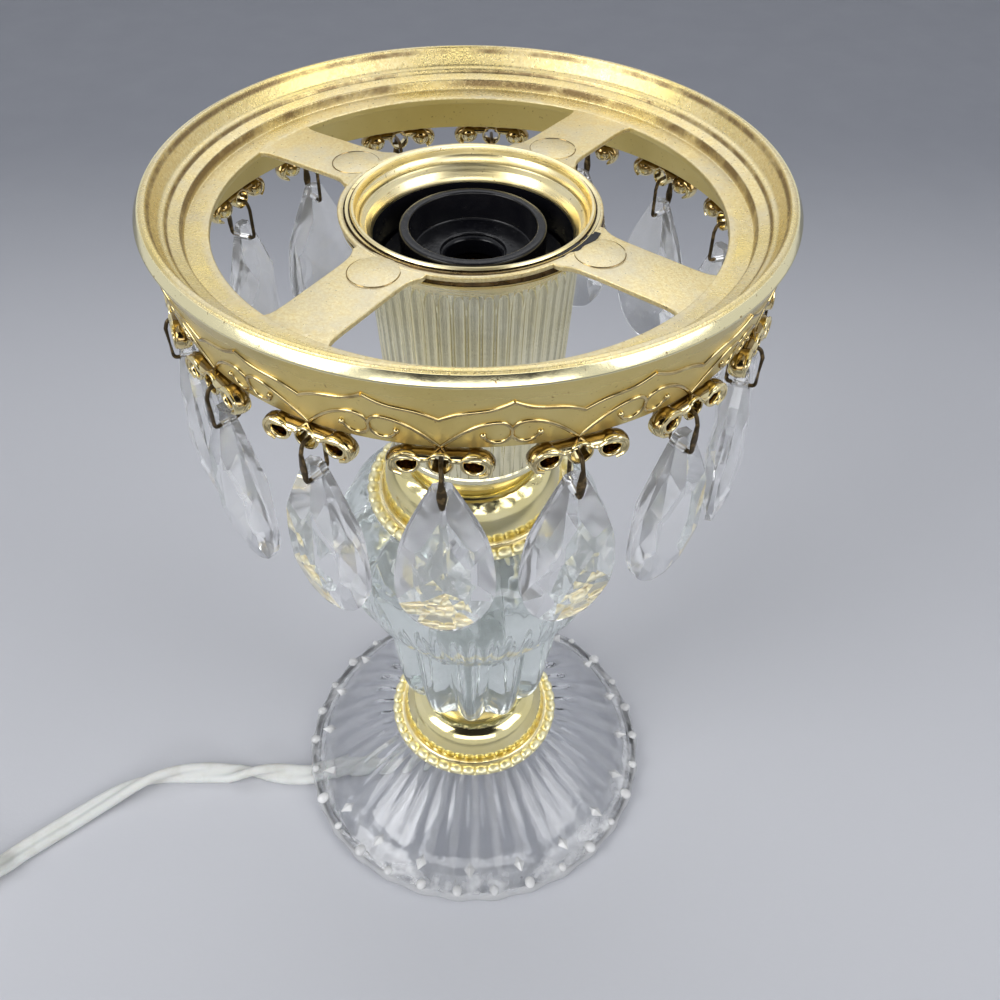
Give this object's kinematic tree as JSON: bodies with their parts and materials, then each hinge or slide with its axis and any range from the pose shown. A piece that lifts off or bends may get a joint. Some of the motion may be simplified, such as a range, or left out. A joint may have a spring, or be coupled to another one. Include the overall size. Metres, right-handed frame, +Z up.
{
  "type": "boudoir table lamp",
  "caption": "Boudoir table lamp: pressed-glass foot and column, beaded brass caps, fluted socket cup, and a plated shade ring hung with faceted crystal drops.",
  "frame": {"origin": "on the table under the middle of the lamp, on the axis of its foot, column and shade ring", "axes": "+Z up the lamp's axis from the foot to the shade ring; +Y away from the side that the picture shows; +X to that view's right"},
  "size_m": [0.3911, 0.1646, 0.2321],
  "materials": {
    "clear_glass": "clear pressed glass, fire polished",
    "column_glass": "pressed glass with a faint green tint",
    "crystal": "clear faceted crystal, polished",
    "spun_brass": "polished pale brass plate",
    "plated_ring": "gold vacuum plating on a moulding, a little worn and dusty",
    "plated_cup": "pale gold vacuum plating, fluted",
    "clip_wire": "dark antique bronze wire",
    "black_phenolic": "black moulded phenolic, satin",
    "contact_brass": "bright contact brass",
    "steel": "zinc-plated steel",
    "cord_vinyl": "warm white vinyl, satin",
    "switch_plastic": "warm white moulded plastic"
  },
  "bodies": {
    "lamp": {"glass_base": "clear_glass", "lower_cap": "spun_brass", "glass_column": "column_glass", "upper_cap": "spun_brass", "fluted_cup": "plated_cup", "shade_ring": "plated_ring", "socket_body": "black_phenolic", "screw_shell": "contact_brass", "center_contact": "contact_brass", "socket_bracket": "steel", "threaded_pipe": "steel", "cup_locknut": "steel", "bottom_washer": "steel", "bottom_nut": "steel", "pipe_bushing": "black_phenolic", "inner_lead": "cord_vinyl", "cord_to_switch": "cord_vinyl", "switch_base": "switch_plastic", "switch_cover": "switch_plastic", "cord_after_switch": "cord_vinyl", "cord_coil": "cord_vinyl", "cord_tail": "cord_vinyl", "plug_body": "cord_vinyl", "plug_blade_a": "contact_brass", "plug_blade_b": "contact_brass"},
    "pendant_01": {"clip_01": "clip_wire", "crystal_01": "crystal"},
    "pendant_02": {"clip_02": "clip_wire", "crystal_02": "crystal"},
    "pendant_03": {"clip_03": "clip_wire", "crystal_03": "crystal"},
    "pendant_04": {"clip_04": "clip_wire", "crystal_04": "crystal"},
    "pendant_05": {"clip_05": "clip_wire", "crystal_05": "crystal"},
    "pendant_06": {"clip_06": "clip_wire", "crystal_06": "crystal"},
    "pendant_07": {"clip_07": "clip_wire", "crystal_07": "crystal"},
    "pendant_08": {"clip_08": "clip_wire", "crystal_08": "crystal"},
    "pendant_09": {"clip_09": "clip_wire", "crystal_09": "crystal"},
    "pendant_10": {"clip_10": "clip_wire", "crystal_10": "crystal"},
    "pendant_11": {"clip_11": "clip_wire", "crystal_11": "crystal"},
    "pendant_12": {"clip_12": "clip_wire", "crystal_12": "crystal"},
    "pendant_13": {"clip_13": "clip_wire", "crystal_13": "crystal"},
    "pendant_14": {"clip_14": "clip_wire", "crystal_14": "crystal"},
    "pendant_15": {"clip_15": "clip_wire", "crystal_15": "crystal"},
    "pendant_16": {"clip_16": "clip_wire", "crystal_16": "crystal"},
    "thumb_wheel": {"switch_wheel": "switch_plastic"}
  },
  "joints": [
    {"name": "pendant_01_swing", "type": "hinge", "parent": "lamp", "child": "pendant_01", "pos_m": [-0.00592, -0.06634, 0.20585], "axis": [1, 0.0067, 0], "range_deg": [-20, 15]},
    {"name": "pendant_02_swing", "type": "hinge", "parent": "lamp", "child": "pendant_02", "pos_m": [0.01992, -0.06355, 0.20585], "axis": [0.9583, 0.2857, 0], "range_deg": [-20, 15]},
    {"name": "pendant_03_swing", "type": "hinge", "parent": "lamp", "child": "pendant_03", "pos_m": [0.04272, -0.05109, 0.20585], "axis": [0.8136, 0.5814, 0], "range_deg": [-20, 15]},
    {"name": "pendant_04_swing", "type": "hinge", "parent": "lamp", "child": "pendant_04", "pos_m": [0.05902, -0.03086, 0.20585], "axis": [0.3526, 0.9358, 0], "range_deg": [-20, 15]},
    {"name": "pendant_05_swing", "type": "hinge", "parent": "lamp", "child": "pendant_05", "pos_m": [0.06634, -0.00592, 0.20585], "axis": [0.1837, 0.983, 0], "range_deg": [-20, 15]},
    {"name": "pendant_06_swing", "type": "hinge", "parent": "lamp", "child": "pendant_06", "pos_m": [0.06355, 0.01992, 0.20585], "axis": [-0.3123, 0.95, 0], "range_deg": [-20, 15]},
    {"name": "pendant_07_swing", "type": "hinge", "parent": "lamp", "child": "pendant_07", "pos_m": [0.05109, 0.04272, 0.20585], "axis": [-0.6978, 0.7163, 0], "range_deg": [-20, 15]},
    {"name": "pendant_08_swing", "type": "hinge", "parent": "lamp", "child": "pendant_08", "pos_m": [0.03086, 0.05902, 0.20585], "axis": [-0.8236, 0.5672, 0], "range_deg": [-20, 15]},
    {"name": "pendant_09_swing", "type": "hinge", "parent": "lamp", "child": "pendant_09", "pos_m": [0.00592, 0.06634, 0.20585], "axis": [-1, -0.0067, 0], "range_deg": [-20, 15]},
    {"name": "pendant_10_swing", "type": "hinge", "parent": "lamp", "child": "pendant_10", "pos_m": [-0.01992, 0.06355, 0.20585], "axis": [-0.9583, -0.2857, 0], "range_deg": [-20, 15]},
    {"name": "pendant_11_swing", "type": "hinge", "parent": "lamp", "child": "pendant_11", "pos_m": [-0.04272, 0.05109, 0.20585], "axis": [-0.8136, -0.5814, 0], "range_deg": [-20, 15]},
    {"name": "pendant_12_swing", "type": "hinge", "parent": "lamp", "child": "pendant_12", "pos_m": [-0.05902, 0.03086, 0.20585], "axis": [-0.3526, -0.9358, 0], "range_deg": [-20, 15]},
    {"name": "pendant_13_swing", "type": "hinge", "parent": "lamp", "child": "pendant_13", "pos_m": [-0.06634, 0.00592, 0.20585], "axis": [-0.1837, -0.983, 0], "range_deg": [-20, 15]},
    {"name": "pendant_14_swing", "type": "hinge", "parent": "lamp", "child": "pendant_14", "pos_m": [-0.06355, -0.01992, 0.20585], "axis": [0.3123, -0.95, 0], "range_deg": [-20, 15]},
    {"name": "pendant_15_swing", "type": "hinge", "parent": "lamp", "child": "pendant_15", "pos_m": [-0.05109, -0.04272, 0.20585], "axis": [0.6978, -0.7163, 0], "range_deg": [-20, 15]},
    {"name": "pendant_16_swing", "type": "hinge", "parent": "lamp", "child": "pendant_16", "pos_m": [-0.03086, -0.05902, 0.20585], "axis": [0.8236, -0.5672, 0], "range_deg": [-20, 15]},
    {"name": "switch_wheel_turn", "type": "hinge", "parent": "lamp", "child": "thumb_wheel", "pos_m": [-0.19651, -0.06958, 0.0065], "axis": [0, 0, 1], "continuous": true}
  ]
}
